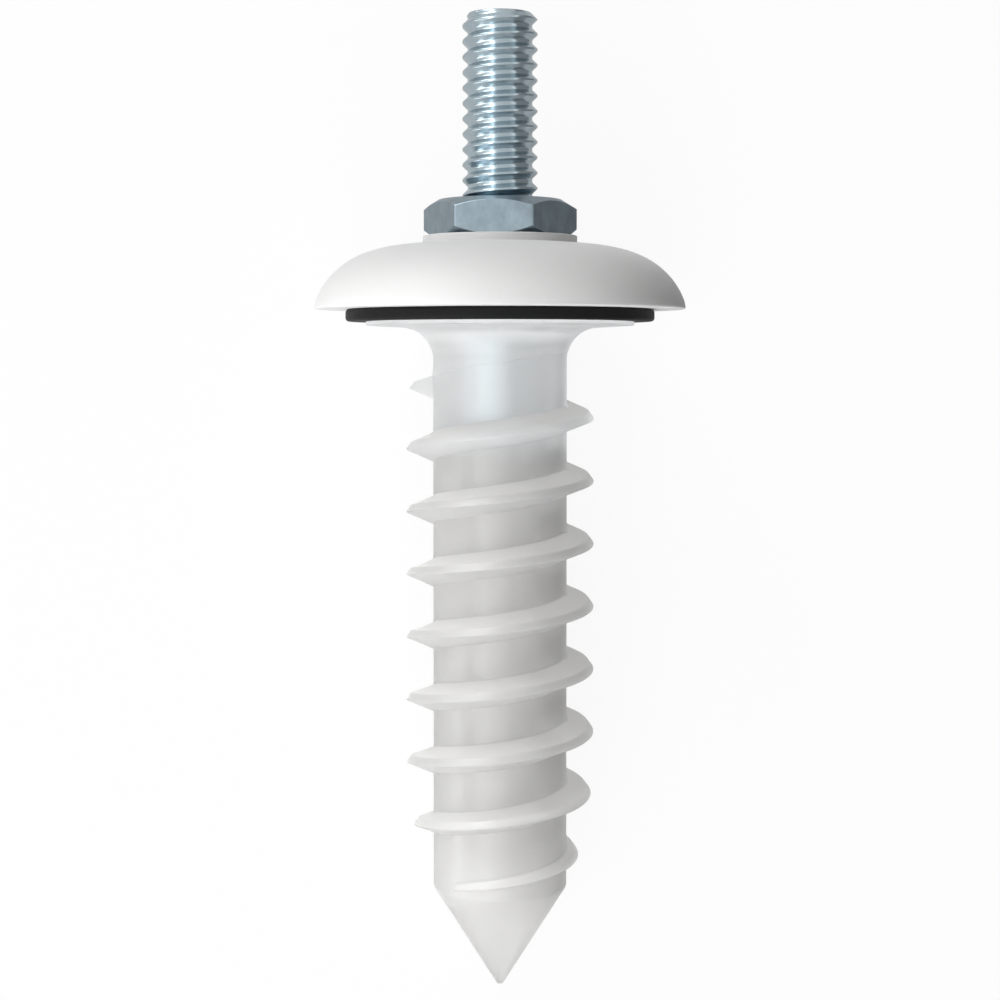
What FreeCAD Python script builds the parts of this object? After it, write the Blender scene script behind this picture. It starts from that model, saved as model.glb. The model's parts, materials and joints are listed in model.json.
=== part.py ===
import FreeCAD, Part
import math
import os

# A screw-in insulation anchor with a threaded stud: a natural nylon spiral plug, a rubber
# seal ring, a domed plastic cap, a thin hex nut and a steel stud. All sizes in millimetres.
# Each piece is modelled upright about +Z, with z = 0 at the plug's flange top, the stud
# pointing up and the viewer's side at -Y. The whole is then laid down as it comes to rest,
# on the cap's rim and on the rib, with the stud towards +Y and the viewer's side up.

# Plug: flange, neck, shank and point
PLUG_LENGTH = 85.0
FLANGE_R = 17.05
FLANGE_EDGE = 0.5
FLANGE_SLOPE_DEG = 3.2
NECK_FILLET_R = 4.1
SHANK_R = 8.5
POINT_HALF_DEG = 32.3
POINT_TIP_R = 0.35

# Plug: moulded bore for the stud, and the narrower cored hole below it
STUD_ENGAGEMENT = 16.1
CORE_HOLE_R = 3.2
CORE_HOLE_TO_TIP = 16.5
BORE_LEAD_IN = 0.6

# Plug: right-handed spiral rib, seen in an axial section
RIB_PITCH = 8.0
RIB_HEIGHT = 3.5
RIB_ROOT_WIDTH = 3.15
RIB_SHOULDER = 2.82
RIB_SHOULDER_DROP = 0.72
RIB_CREST_DROP = 1.65
RIB_START_DEPTH = 8.57
RIB_START_DEG = -103.0
RIB_END_MARGIN = 0.95
RIB_RUN_OUT_TURNS = 2.05
RIB_RUN_OUT_SINK = 2.8
RIB_ROOTING = 0.8

# Seal ring
SEAL_R = 19.6
SEAL_THICKNESS = 1.55
SEAL_EDGE_R = 0.45
SEAL_FIT = 0.2

# Cap: dome, rim, boss for the nut, hub round the stud and cored pockets
CAP_R = 23.5
CAP_RIM_HEIGHT = 0.3
CAP_RIM_FILLET = 0.22
DOME_RISE = 8.05
DOME_SPREAD = 4.8
DOME_FULLNESS = 1.43
BOSS_R = 9.8
BOSS_TOP = 9.3
BOSS_FILLET = 0.15
HUB_R = 7.5
CAP_WALL = 2.2
SEAT_INNER_R = 15.8
POCKET_RIBS = 6
POCKET_RIB_WIDTH = 1.3
CAP_HOLE_FIT = 0.25

# Hex nut
NUT_ACROSS_FLATS = 17.0
NUT_HEIGHT = 4.55
NUT_TURN_DEG = 5.4
NUT_TOP_LAND_R = 7.8
NUT_TOP_CHAMFER = 1.25
NUT_BASE_LAND_R = 8.72
NUT_BASE_CHAMFER = 0.82
NUT_COUNTERSINK = 0.6

# Threaded stud. Its free end is drawn plain at the thread's outer radius. Where it is screwed
# in, it is drawn at half the thread's depth, as are the threads of nut and plug, plus a play.
STUD_R = 4.87
STUD_LENGTH = 55.0
STUD_CHAMFER = 0.9
THREAD_DEPTH = 0.8
THREAD_PLAY = 0.05

# Steps per span of the rib's edges, which is at most one turn, and per turn in the search for
# its lowest point, and points on the dome's curve
RIB_STEPS = 24
RESTING_STEPS = 360
DOME_POINTS = 12

# Places that follow from the sizes
CAP_BASE = SEAL_THICKNESS
NUT_BASE = CAP_BASE + BOSS_TOP
NUT_TOP = NUT_BASE + NUT_HEIGHT
STUD_TOP = STUD_LENGTH - STUD_ENGAGEMENT
SCREWED_R = STUD_R - THREAD_DEPTH / 2
TAPPED_R = SCREWED_R + THREAD_PLAY
CORE_HOLE_DEPTH = PLUG_LENGTH - CORE_HOLE_TO_TIP
POINT_START = PLUG_LENGTH - (SHANK_R - POINT_TIP_R) / math.tan(math.radians(POINT_HALF_DEG))
RIB_END_DEPTH = POINT_START - RIB_END_MARGIN
RIB_TURNS = (RIB_END_DEPTH - RIB_START_DEPTH) / RIB_PITCH


def at(radius, height):
    """A point of a profile in the XZ half-plane that is turned about the Z axis."""
    return FreeCAD.Vector(radius, 0, height)


def turned(edges):
    """The solid made by turning a closed profile once about the Z axis."""
    face = Part.Face(Part.Wire(edges))
    return face.revolve(FreeCAD.Vector(0, 0, 0), FreeCAD.Vector(0, 0, 1), 360)


def lines(points):
    """Straight edges that join the points in order."""
    return [Part.makeLine(a, b) for a, b in zip(points, points[1:])]


def arc(start, middle, end):
    """A circular edge through three points."""
    return Part.Arc(start, middle, end).toShape()


def arc_about(centre, radius, start_deg, end_deg):
    """A circular edge in the XZ plane, with its ends at two angles from +X."""
    angles = [start_deg, (start_deg + end_deg) / 2, end_deg]
    spots = [
        at(centre.x + radius * math.cos(math.radians(a)), centre.z + radius * math.sin(math.radians(a)))
        for a in angles
    ]
    return arc(*spots)


def plug_body():
    """Flange, concave neck, round shank and conical point as one turned solid."""
    slope = math.radians(FLANGE_SLOPE_DEG)
    centre_r = SHANK_R + NECK_FILLET_R
    under_flange = -FLANGE_EDGE - (FLANGE_R - centre_r) * math.tan(slope)
    centre = at(centre_r, under_flange - NECK_FILLET_R / math.cos(slope))
    neck = arc_about(centre, NECK_FILLET_R, 90 + FLANGE_SLOPE_DEG, 180)
    neck_top, neck_foot = neck.Vertexes[0].Point, neck.Vertexes[1].Point
    top = lines([at(0, 0), at(FLANGE_R, 0), at(FLANGE_R, -FLANGE_EDGE), neck_top])
    foot = lines(
        [neck_foot, at(SHANK_R, -POINT_START), at(POINT_TIP_R, -PLUG_LENGTH), at(0, -PLUG_LENGTH), at(0, 0)]
    )
    return turned(top + [neck] + foot)


def plug_hole():
    """The bore that takes the stud, with a lead-in, and the cored hole with its round end."""
    straight_end = -(CORE_HOLE_DEPTH - CORE_HOLE_R)
    side = lines(
        [
            at(0, 0),
            at(TAPPED_R + BORE_LEAD_IN, 0),
            at(TAPPED_R, -BORE_LEAD_IN),
            at(TAPPED_R, -STUD_ENGAGEMENT),
            at(CORE_HOLE_R, -STUD_ENGAGEMENT),
            at(CORE_HOLE_R, straight_end),
        ]
    )
    round_end = arc_about(at(0, straight_end), CORE_HOLE_R, 0, -90)
    return turned(side + [round_end] + lines([at(0, -CORE_HOLE_DEPTH), at(0, 0)]))


def rib_sink(turns):
    """How far the rib's section has sunk into the shank on its way to the blunt lower end."""
    past = turns - (RIB_TURNS - RIB_RUN_OUT_TURNS)
    if past <= 0:
        return 0.0
    return RIB_RUN_OUT_SINK * (past / RIB_RUN_OUT_TURNS) ** 2


def rib_section(turns):
    """The rib's four corners as (radius, height): upper root, shoulder, crest and lower root."""
    sink = rib_sink(turns)
    crest = -(RIB_START_DEPTH + RIB_PITCH * turns)
    top = crest + RIB_CREST_DROP
    upper_slope = RIB_SHOULDER_DROP / RIB_SHOULDER
    lower_slope = (RIB_ROOT_WIDTH - RIB_CREST_DROP) / RIB_HEIGHT
    return [
        (SHANK_R - RIB_ROOTING, top - (sink - RIB_ROOTING) * upper_slope),
        (SHANK_R + RIB_SHOULDER - sink, top - RIB_SHOULDER_DROP),
        (SHANK_R + RIB_HEIGHT - sink, crest),
        (SHANK_R - RIB_ROOTING, crest - (RIB_HEIGHT - sink + RIB_ROOTING) * lower_slope),
    ]


def rib_angle(turns):
    """The rib's place round the axis: degrees from the viewer's side, positive to the right."""
    return RIB_START_DEG - 360 * turns


def around(angle_deg, radius, height):
    """A point at a radius and height, turned from the viewer's side (-Y) towards +X."""
    angle = math.radians(angle_deg)
    return FreeCAD.Vector(radius * math.sin(angle), -radius * math.cos(angle), height)


def rib_span(first, last):
    """The rib's four ruled faces over part of its length, and the corners of both end sections."""
    stations = [first + (last - first) * i / RIB_STEPS for i in range(RIB_STEPS + 1)]
    corners = [[around(rib_angle(t), r, z) for r, z in rib_section(t)] for t in stations]
    edges = []
    for track in zip(*corners):
        curve = Part.BSplineCurve()
        curve.interpolate(list(track))
        edges.append(curve.toShape())
    faces = [Part.makeRuledSurface(edges[i], edges[(i + 1) % len(edges)]) for i in range(len(edges))]
    return faces, corners[0], corners[-1]


def spiral_rib():
    """The rib as a closed shell: spans of ruled faces, none over a turn long, and two flat ends."""
    count = math.ceil(RIB_TURNS)
    spans = [rib_span(RIB_TURNS * i / count, RIB_TURNS * (i + 1) / count) for i in range(count)]
    faces = [face for span_faces, _, _ in spans for face in span_faces]
    for end in (spans[0][1], spans[-1][2]):
        faces.append(Part.Face(Part.makePolygon(end + end[:1])))
    shell = Part.makeShell(faces)
    shell.sewShape()
    solid = Part.makeSolid(Part.Shell(shell.Faces))
    if solid.Volume < 0:
        solid.reverse()
    return solid


def spiral_plug():
    """The one-piece nylon plug: turned body, spiral rib and moulded hole."""
    return plug_body().fuse(spiral_rib()).cut(plug_hole())


def seal_ring():
    """The rubber ring between flange and cap, with its outer edges rounded."""
    inner_r = HUB_R + SEAL_FIT
    outline = [at(SEAL_R, 0), at(SEAL_R, SEAL_THICKNESS), at(inner_r, SEAL_THICKNESS), at(inner_r, 0)]
    ring = turned(lines(outline + outline[:1]))
    outer = [e for e in ring.Edges if is_circle(e, SEAL_R)]
    return ring.makeFillet(SEAL_EDGE_R, outer)


def is_circle(edge, radius):
    """True for a round edge of this radius about the Z axis."""
    curve = edge.Curve
    if not isinstance(curve, Part.Circle):
        return False
    return abs(curve.Radius - radius) < 1e-6 and math.hypot(curve.Center.x, curve.Center.y) < 1e-6


def dome_height(radius):
    """The dome's height above the cap's base at a radius."""
    return CAP_RIM_HEIGHT + DOME_RISE * (1 - (radius / CAP_R) ** DOME_SPREAD) ** (1 / DOME_FULLNESS)


def dome_curve():
    """The dome's profile from the boss down to the rim, steep at the rim and nearly flat inside."""
    first = math.asin((BOSS_R / CAP_R) ** (DOME_SPREAD / 2))
    points = []
    for i in range(DOME_POINTS + 1):
        angle = first + (math.pi / 2 - first) * i / DOME_POINTS
        radius = CAP_R * math.sin(angle) ** (2 / DOME_SPREAD)
        rise = DOME_RISE * max(math.cos(angle), 0.0) ** (2 / DOME_FULLNESS)
        points.append(at(radius, CAP_RIM_HEIGHT + rise))
    curve = Part.BSplineCurve()
    curve.interpolate(points)
    return curve.toShape()


def cap_pocket():
    """The ring of cored pockets inside the cap, parted by radial ribs."""
    outline = [
        at(HUB_R, 0),
        at(SEAT_INNER_R, 0),
        at(SEAT_INNER_R, dome_height(SEAT_INNER_R) - CAP_WALL),
        at(HUB_R, dome_height(HUB_R) - CAP_WALL),
    ]
    pocket = turned(lines(outline + outline[:1]))
    for i in range(POCKET_RIBS):
        rib = Part.makeBox(CAP_R, POCKET_RIB_WIDTH, BOSS_TOP, FreeCAD.Vector(0, -POCKET_RIB_WIDTH / 2, 0))
        rib.rotate(FreeCAD.Vector(0, 0, 0), FreeCAD.Vector(0, 0, 1), 360 * i / POCKET_RIBS)
        pocket = pocket.cut(rib)
    return pocket


def cover_cap():
    """The domed cap with a low boss for the nut and a hub that stands on the flange."""
    dome = dome_curve()
    hole_r = STUD_R + CAP_HOLE_FIT
    boss_foot = dome.Vertexes[0].Point
    rim_top = dome.Vertexes[1].Point
    fillet_centre = at(CAP_R - CAP_RIM_FILLET, CAP_RIM_FILLET)
    rim_fillet = arc_about(fillet_centre, CAP_RIM_FILLET, 0, -90)
    boss_fillet = arc_about(at(BOSS_R - BOSS_FILLET, BOSS_TOP - BOSS_FILLET), BOSS_FILLET, 90, 0)
    hub_foot = -CAP_BASE
    profile = lines([at(hole_r, BOSS_TOP), at(BOSS_R - BOSS_FILLET, BOSS_TOP)])
    profile += [boss_fillet]
    profile += lines([at(BOSS_R, BOSS_TOP - BOSS_FILLET), boss_foot])
    profile += [dome]
    profile += lines([rim_top, at(CAP_R, CAP_RIM_FILLET)])
    profile += [rim_fillet]
    profile += lines(
        [
            at(CAP_R - CAP_RIM_FILLET, 0),
            at(HUB_R, 0),
            at(HUB_R, hub_foot),
            at(hole_r, hub_foot),
            at(hole_r, BOSS_TOP),
        ]
    )
    cap = turned(profile).cut(cap_pocket())
    cap.translate(FreeCAD.Vector(0, 0, CAP_BASE))
    return cap


def hex_nut():
    """A thin hex nut, chamfered on both faces and countersunk at both ends of its hole."""
    corner_r = NUT_ACROSS_FLATS / 2 / math.cos(math.radians(30))
    corners = [around(30 + 60 * i - NUT_TURN_DEG, corner_r, 0) for i in range(6)]
    prism = Part.Face(Part.makePolygon(corners + corners[:1])).extrude(FreeCAD.Vector(0, 0, NUT_HEIGHT))
    chamfers = [
        at(0, 0),
        at(NUT_BASE_LAND_R, 0),
        at(corner_r, NUT_BASE_CHAMFER),
        at(corner_r, NUT_HEIGHT - NUT_TOP_CHAMFER),
        at(NUT_TOP_LAND_R, NUT_HEIGHT),
        at(0, NUT_HEIGHT),
    ]
    hole = [
        at(0, 0),
        at(TAPPED_R + NUT_COUNTERSINK, 0),
        at(TAPPED_R, NUT_COUNTERSINK),
        at(TAPPED_R, NUT_HEIGHT - NUT_COUNTERSINK),
        at(TAPPED_R + NUT_COUNTERSINK, NUT_HEIGHT),
        at(0, NUT_HEIGHT),
    ]
    body = prism.common(turned(lines(chamfers + chamfers[:1])))
    nut = body.cut(turned(lines(hole + hole[:1])))
    nut.translate(FreeCAD.Vector(0, 0, NUT_BASE))
    return nut


def threaded_stud():
    """The stud, chamfered at both ends, standing on the shoulder at the foot of the plug's bore."""
    end_r = STUD_R - STUD_CHAMFER
    outline = [
        at(0, -STUD_ENGAGEMENT),
        at(end_r, -STUD_ENGAGEMENT),
        at(SCREWED_R, -STUD_ENGAGEMENT + SCREWED_R - end_r),
        at(SCREWED_R, NUT_TOP),
        at(STUD_R, NUT_TOP),
        at(STUD_R, STUD_TOP - STUD_CHAMFER),
        at(end_r, STUD_TOP),
        at(0, STUD_TOP),
    ]
    return turned(lines(outline + outline[:1]))


def rib_low(tilt):
    """The lowest level of the rib's crest below the axis' origin at a tilt in radians."""
    lowest = 0.0
    for i in range(math.ceil(RIB_TURNS * RESTING_STEPS) + 1):
        turns = min(i / RESTING_STEPS, RIB_TURNS)
        radius, height = rib_section(turns)[2]
        up = radius * math.cos(math.radians(rib_angle(turns)))
        lowest = min(lowest, height * math.sin(tilt) + up * math.cos(tilt))
    return lowest


def rim_low(tilt):
    """The lowest level of the cap's rounded rim below the axis' origin at a tilt in radians."""
    fillet_centre_r = CAP_R - CAP_RIM_FILLET
    fillet_centre_z = CAP_BASE + CAP_RIM_FILLET
    return fillet_centre_z * math.sin(tilt) - fillet_centre_r * math.cos(tilt) - CAP_RIM_FILLET


def resting_tilt():
    """The tilt at which the cap's rim and the rib's crest meet one floor, found by halving."""
    low, high = 0.0, math.radians(60)
    for _ in range(50):
        middle = (low + high) / 2
        if rim_low(middle) < rib_low(middle):
            low = middle
        else:
            high = middle
    return (low + high) / 2


def laid_down(shape, tilt):
    """The piece turned onto its side, tilted, and moved so the whole stands centred on z = 0."""
    far = STUD_TOP * math.cos(tilt) + (STUD_R - STUD_CHAMFER) * math.sin(tilt)
    near = -PLUG_LENGTH * math.cos(tilt) - POINT_TIP_R * math.sin(tilt)
    placed = shape.copy()
    placed.rotate(FreeCAD.Vector(0, 0, 0), FreeCAD.Vector(1, 0, 0), -90 + math.degrees(tilt))
    placed.translate(FreeCAD.Vector(0, -(far + near) / 2, -rim_low(tilt)))
    return placed


def main():
    os.makedirs("parts", exist_ok=True)
    tilt = resting_tilt()
    pieces = {
        "spiral_plug": spiral_plug(),
        "seal_ring": seal_ring(),
        "cover_cap": cover_cap(),
        "hex_nut": hex_nut(),
        "threaded_stud": threaded_stud(),
    }
    print("tilt", round(math.degrees(tilt), 3), "rib turns", round(RIB_TURNS, 3))
    for name, shape in pieces.items():
        solid = laid_down(shape, tilt)
        print(name, solid.isValid(), len(solid.Solids), round(solid.Volume, 1))
        solid.exportStep("parts/" + name + ".step")


main()
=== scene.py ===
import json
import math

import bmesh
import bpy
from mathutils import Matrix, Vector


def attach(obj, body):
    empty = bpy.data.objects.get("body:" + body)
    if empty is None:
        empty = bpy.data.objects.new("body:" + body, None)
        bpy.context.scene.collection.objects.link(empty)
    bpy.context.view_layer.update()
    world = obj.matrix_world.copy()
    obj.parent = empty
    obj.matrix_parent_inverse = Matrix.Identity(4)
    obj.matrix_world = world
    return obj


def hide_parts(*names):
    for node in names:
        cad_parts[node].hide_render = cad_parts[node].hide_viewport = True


bl_info = {
    "name": "Insulation Anchor",
    "version": (1, 0, 0),
    "blender": (4, 5, 0),
    "location": "View3D > Sidebar > Anchor",
    "description": "Dresses a packed screw-in insulation anchor: spiral plug, seal, cap, nut and stud",
    "category": "Add Mesh",
}

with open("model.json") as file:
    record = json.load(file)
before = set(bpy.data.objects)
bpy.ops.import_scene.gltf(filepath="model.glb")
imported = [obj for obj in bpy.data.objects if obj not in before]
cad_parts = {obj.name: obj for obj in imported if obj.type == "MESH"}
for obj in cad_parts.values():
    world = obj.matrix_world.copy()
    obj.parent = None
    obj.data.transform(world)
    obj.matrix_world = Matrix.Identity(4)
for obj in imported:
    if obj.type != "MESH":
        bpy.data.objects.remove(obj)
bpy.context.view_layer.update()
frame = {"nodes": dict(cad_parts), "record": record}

MM = 0.001
FULL_TURN = 2 * math.pi
COLUMNS = 240
PICTURE_PIXELS = 1000
MERGE_DISTANCE = 0.0005 * MM


# The anchor's own frame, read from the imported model

def upright_frame():
    """+Z along the anchor's axis towards the stud, -Y to the viewer, z = 0 on the flange's top."""
    mount = next(m for m in frame["record"]["mounts"] if m["name"] == "stud_end")
    up = Vector(mount["axis"]).normalized()
    right = Vector((1, 0, 0))
    back = up.cross(right)
    on_axis = Vector(mount["pos_m"])
    flange_top = max(v.co.dot(up) for v in frame["nodes"]["spiral_plug"].data.vertices)
    origin = on_axis + up * (flange_top - on_axis.dot(up))
    return Matrix((right, back, up)).transposed().to_4x4(), origin


turn, flange_centre = upright_frame()
LYING = Matrix.Translation(flange_centre) @ turn
STANDING = LYING.inverted()
ALONG = Vector((0, 0, 1))


def span(node):
    """A node's lowest and highest place along the anchor's axis."""
    heights = [(STANDING @ v.co).z for v in frame["nodes"][node].data.vertices]
    return min(heights), max(heights)


def reach(node):
    """A node's largest distance from the anchor's axis."""
    return max((STANDING @ v.co).xy.length for v in frame["nodes"][node].data.vertices)


PLUG_LENGTH = -span("spiral_plug")[0]
FLANGE_R = reach("spiral_plug")
SEAL_TOP = span("seal_ring")[1]
SEAL_R = reach("seal_ring")
CAP_TOP = span("cover_cap")[1]
CAP_R = reach("cover_cap")
NUT_BASE, NUT_TOP = span("hex_nut")
STUD_FOOT, STUD_TOP = span("threaded_stud")
STUD_R = reach("threaded_stud")


# Sizes and colours that a user would change

def size(name, text, default, lowest=0.0):
    """A length, shown in the scene's own unit."""
    return bpy.props.FloatProperty(
        name=name, description=text, default=default, min=lowest, precision=5, unit="LENGTH"
    )


def angle(name, text, degrees):
    """An angle, given here in degrees."""
    return bpy.props.FloatProperty(
        name=name, description=text, default=math.radians(degrees), subtype="ANGLE"
    )


def share(name, text, default, highest=1.0):
    """A plain number from nought to a highest value."""
    return bpy.props.FloatProperty(
        name=name, description=text, default=default, min=0.0, max=highest, subtype="FACTOR"
    )


def colour(name, text, default):
    """A surface colour, in linear light."""
    return bpy.props.FloatVectorProperty(
        name=name, description=text, default=default, size=3, min=0.0, max=1.0, subtype="COLOR"
    )


class PlugSettings(bpy.types.PropertyGroup):
    """Sizes and finish of the nylon plug."""

    length: size("Length", "From the flange's top to the point", PLUG_LENGTH)
    flange_radius: size("Flange Radius", "Outer radius of the flange", FLANGE_R)
    flange_edge: size("Flange Edge", "Thickness of the flange at its rim", 0.5 * MM)
    flange_slope: angle("Flange Slope", "Slope of the flange's underside", 3.2)
    neck_radius: size("Neck Radius", "Radius of the hollow from flange to shank", 4.1 * MM)
    shank_radius: size("Shank Radius", "Radius of the shank between the turns of the rib", 8.5 * MM)
    point_angle: angle("Point Angle", "Half of the point's angle", 32.3)
    tip_radius: size("Tip Radius", "Radius of the blunt tip", 0.35 * MM)
    bore_play: size("Bore Play", "Clearance between the bore and the stud", 0.05 * MM)
    bore_mouth: size("Bore Mouth", "Chamfer at the bore's mouth", 0.6 * MM)
    hole_radius: size("Cored Hole Radius", "Radius of the hole under the stud", 3.2 * MM)
    hole_to_tip: size("Hole to Tip", "Solid nylon left between hole and tip", 16.5 * MM)
    pitch: size("Rib Pitch", "Distance along the axis for one turn of the rib", 8.0 * MM)
    rib_height: size("Rib Height", "From the shank to the rib's crest", 3.5 * MM)
    rib_root: size("Rib Root", "Width of the rib where it leaves the shank", 3.15 * MM)
    shoulder: size("Rib Shoulder", "Height at which the bevel starts", 2.82 * MM)
    shoulder_drop: size("Shoulder Drop", "Fall of the upper flank to the shoulder", 0.72 * MM)
    crest_drop: size("Crest Drop", "Fall from the upper root to the crest", 1.65 * MM)
    upper_relief: size("Upper Relief", "Rise of the upper root off the mould's parting", 0.5 * MM)
    lower_relief: size("Lower Relief", "Rise of the lower root off the mould's parting", 0.2 * MM)
    lip_depth: size("Lip Depth", "Depth of the neck's lip on the viewer's side", 5.1 * MM)
    lip_rise: size("Lip Rise", "Rise of the neck's lip in one turn", 7.3 * MM)
    lip_step: size("Lip Step", "Height of the neck's lip", 0.15 * MM)
    start_depth: size("Rib Start", "Depth of the crest where the rib starts", 8.57 * MM)
    start_angle: angle("Rib Start Angle", "Where the rib starts, from the viewer's side", -103.0)
    end_margin: size("Rib End", "From the rib's end to the start of the point", 0.95 * MM)
    run_out_sink: size("Run-out", "How deep the rib has sunk at its end", 2.8 * MM)
    run_out_turns: share("Run-out Turns", "Turns over which the rib sinks", 2.05, 6.0)
    tint: colour("Nylon", "Milky natural nylon", (0.75, 0.742, 0.73))
    # The five glow colours below are painted light: emission laid out by place on the plug, standing
    # in for light through the nylon; the second is a painted glint of the stud seen through the neck.
    neck_glow: colour("Neck Glow", "Light off the stud, out through the neck", (0.12, 0.127, 0.133))
    steel_glow: colour("Steel Glow", "The same on the stud's lit side", (0.25, 0.29, 0.31))
    flange_glow: colour("Flange Glow", "Light through flange and hollow", (0.42, 0.435, 0.44))
    rib_glow: colour("Rib Glow", "Light through the thin rib", (0.15, 0.148, 0.143))
    tip_glow: colour("Tip Glow", "Light out at the point's far side", (0.24, 0.24, 0.226))
    scatter: size("Scatter", "How far light runs in the nylon before it turns", 30.0 * MM)
    clearness: share("Clearness", "Share of the light that goes through unscattered", 0.33)


class CapSettings(bpy.types.PropertyGroup):
    """Sizes and finish of the cover cap."""

    radius: size("Radius", "Outer radius of the rim", CAP_R)
    rim_height: size("Rim Height", "Upright part of the rim", 0.3 * MM)
    rim_edge: size("Rim Edge", "Rounding of the rim's lower edge", 0.22 * MM)
    rise: size("Dome Rise", "Height of the dome over the rim", 8.05 * MM)
    spread: share("Dome Spread", "How far out the dome stays flat", 4.8, 10.0)
    fullness: share("Dome Fullness", "How steeply the dome falls at the rim", 1.43, 10.0)
    dome_start: size("Dome Start", "Radius at which the dome's curve leaves the boss", 10.6 * MM)
    boss_radius: size("Boss Radius", "Radius of the boss under the nut", 9.8 * MM)
    boss_edge: size("Boss Edge", "Rounding of the boss's edge", 0.15 * MM)
    boss_foot: size("Boss Foot", "Rounding where the boss meets the dome", 0.12 * MM)
    hole_radius: size("Hole Radius", "Radius of the hole for the stud", 5.12 * MM)
    hub_radius: size("Hub Radius", "Outer radius of the hub that stands on the flange", 7.5 * MM)
    pocket_radius: size("Pocket Radius", "Outer radius of the pockets", 15.8 * MM)
    wall: size("Wall", "Thickness of the dome over the pockets", 2.2 * MM)
    web: angle("Web", "Half of the web between two pockets", 3.4)
    tint: colour("Cap", "White matt plastic", (0.86, 0.86, 0.855))


class SealSettings(bpy.types.PropertyGroup):
    """Sizes and finish of the seal ring."""

    radius: size("Radius", "Outer radius", SEAL_R)
    inner_radius: size("Inner Radius", "Inner radius, round the cap's hub", 7.7 * MM)
    edge: size("Edge", "Rounding of the outer edges", 0.45 * MM)
    inner_edge: size("Inner Edge", "Rounding of the inner edges", 0.1 * MM)
    tint: colour("Rubber", "Matt black rubber", (0.009, 0.009, 0.0093))


class NutSettings(bpy.types.PropertyGroup):
    """Sizes and finish of the hex nut."""

    across_flats: size("Across Flats", "Width of the nut over two opposite faces", 17.0 * MM)
    turn: angle("Turn", "How far the front face is turned to the viewer's left", 5.4)
    thread_bite: size("Thread Bite", "How far the nut's thread reaches into the stud's", 0.45 * MM)
    top_land: size("Top Land", "Radius of the flat part of the outer face", 7.8 * MM)
    top_chamfer: size("Top Chamfer", "Depth of the outer chamfer at the corners", 1.25 * MM)
    base_land: size("Base Land", "Radius of the flat part of the inner face", 8.72 * MM)
    base_chamfer: size("Base Chamfer", "Depth of the inner chamfer at the corners", 0.82 * MM)
    countersink: size("Countersink", "Depth of the countersink round the hole", 0.6 * MM)
    edge: size("Edge", "Rounding of the nut's outer edges", 0.12 * MM)
    corner_edge: size("Corner Edge", "Rounding of the six corners", 0.36 * MM)
    sink_edge: size("Countersink Edge", "Rounding of the countersink's rim", 0.08 * MM)
    hole_edge: size("Hole Edge", "Rounding of the countersink's foot", 0.05 * MM)
    tint: colour("Zinc", "Blue passivated zinc on the nut", (0.256, 0.318, 0.358))
    roughness: share("Roughness", "Roughness of the zinc", 0.32)
    patches: share("Patches", "How much the zinc's tone varies", 0.45)


class StudSettings(bpy.types.PropertyGroup):
    """Sizes and finish of the threaded stud."""

    pitch: size("Thread Pitch", "Distance from one thread to the next", 1.94 * MM)
    depth: size("Thread Depth", "From the full thread's crest to its root", 0.78 * MM)
    crest: size("Thread Crest", "Width of the thread's crest", 0.22 * MM)
    root: size("Thread Root", "Width of the thread's root", 0.45 * MM)
    worn: size("Worn Crest", "How far the rolled crest stays inside the full thread", 0.11 * MM)
    crest_edge: size("Crest Edge", "Rounding of the thread's crest", 0.08 * MM)
    root_edge: size("Root Edge", "Rounding of the thread's root", 0.3 * MM)
    chamfer: size("Chamfer", "Chamfer at both ends", 0.9 * MM)
    first_crest: size("First Crest", "Height of a crest on the viewer's left", 37.27 * MM)
    tint: colour("Zinc", "Bright blue passivated zinc on the stud", (0.44, 0.525, 0.57))
    roughness: share("Roughness", "Roughness of the zinc", 0.2)
    patches: share("Patches", "How much the zinc's tone varies", 0.15)


class StageSettings(bpy.types.PropertyGroup):
    """Camera, lamps and floor."""

    distance: size("Camera Distance", "From the camera to the anchor's axis", 258.0 * MM)
    eye_height: size("Eye Height", "Place along the axis that faces the camera", -4.4 * MM, -1.0)
    centre_height: size("Centre Height", "Place along the axis in mid-picture", -22.71 * MM, -1.0)
    scale: share("Scale", "Pixels per millimetre at the axis", 7.838, 50.0)
    shift: share("Shift", "How far the lens is shifted, as a share of the picture", 0.07)
    floor_tint: colour("Floor", "Pale floor", (0.9, 0.9, 0.9))
    floor_shade: share("Floor Shade", "How bright the floor is as the anchor sees it", 0.67)
    floor_size: size("Floor Size", "Side of the square floor", 12.0)
    floor_glow: share("Floor Glow", "Share of plain white in the floor where it is seen", 0.92)
    floor_mirrored: share("Floor Mirrored", "Share of that white that reflections show", 0.17)
    bounce: share("Bounce", "Share of plain white in the floor's light on the anchor", 0.08)
    card_distance: size("Card Distance", "From the axis to the grey card on the right", 45.0 * MM)
    card_height: size("Card Height", "Height of the grey card", 60.0 * MM)
    card_foot: size("Card Foot", "How far the card runs towards the point", 100.0 * MM)
    card_head: size("Card Head", "How far the card runs towards the stud", 140.0 * MM)
    card_level: share("Card Level", "Brightness of the grey card", 0.3)
    world_seen: share("World Seen", "Brightness of the plain world behind the anchor", 0.97)
    world_mirrored: share("World Mirrored", "Brightness of what the metal mirrors", 4.4, 10.0)
    lamp_distance: size("Lamp Distance", "From each lamp to the anchor's middle", 0.6)


# Outlines: lists of points, each a radius and a height

# How much of a line an arc may take up: a line between two arcs, and one at the outline's end
SHARED_LINE = 0.48
END_LINE = 0.95


def at(radius, height):
    """A point of an outline."""
    return Vector((radius, height))


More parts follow.
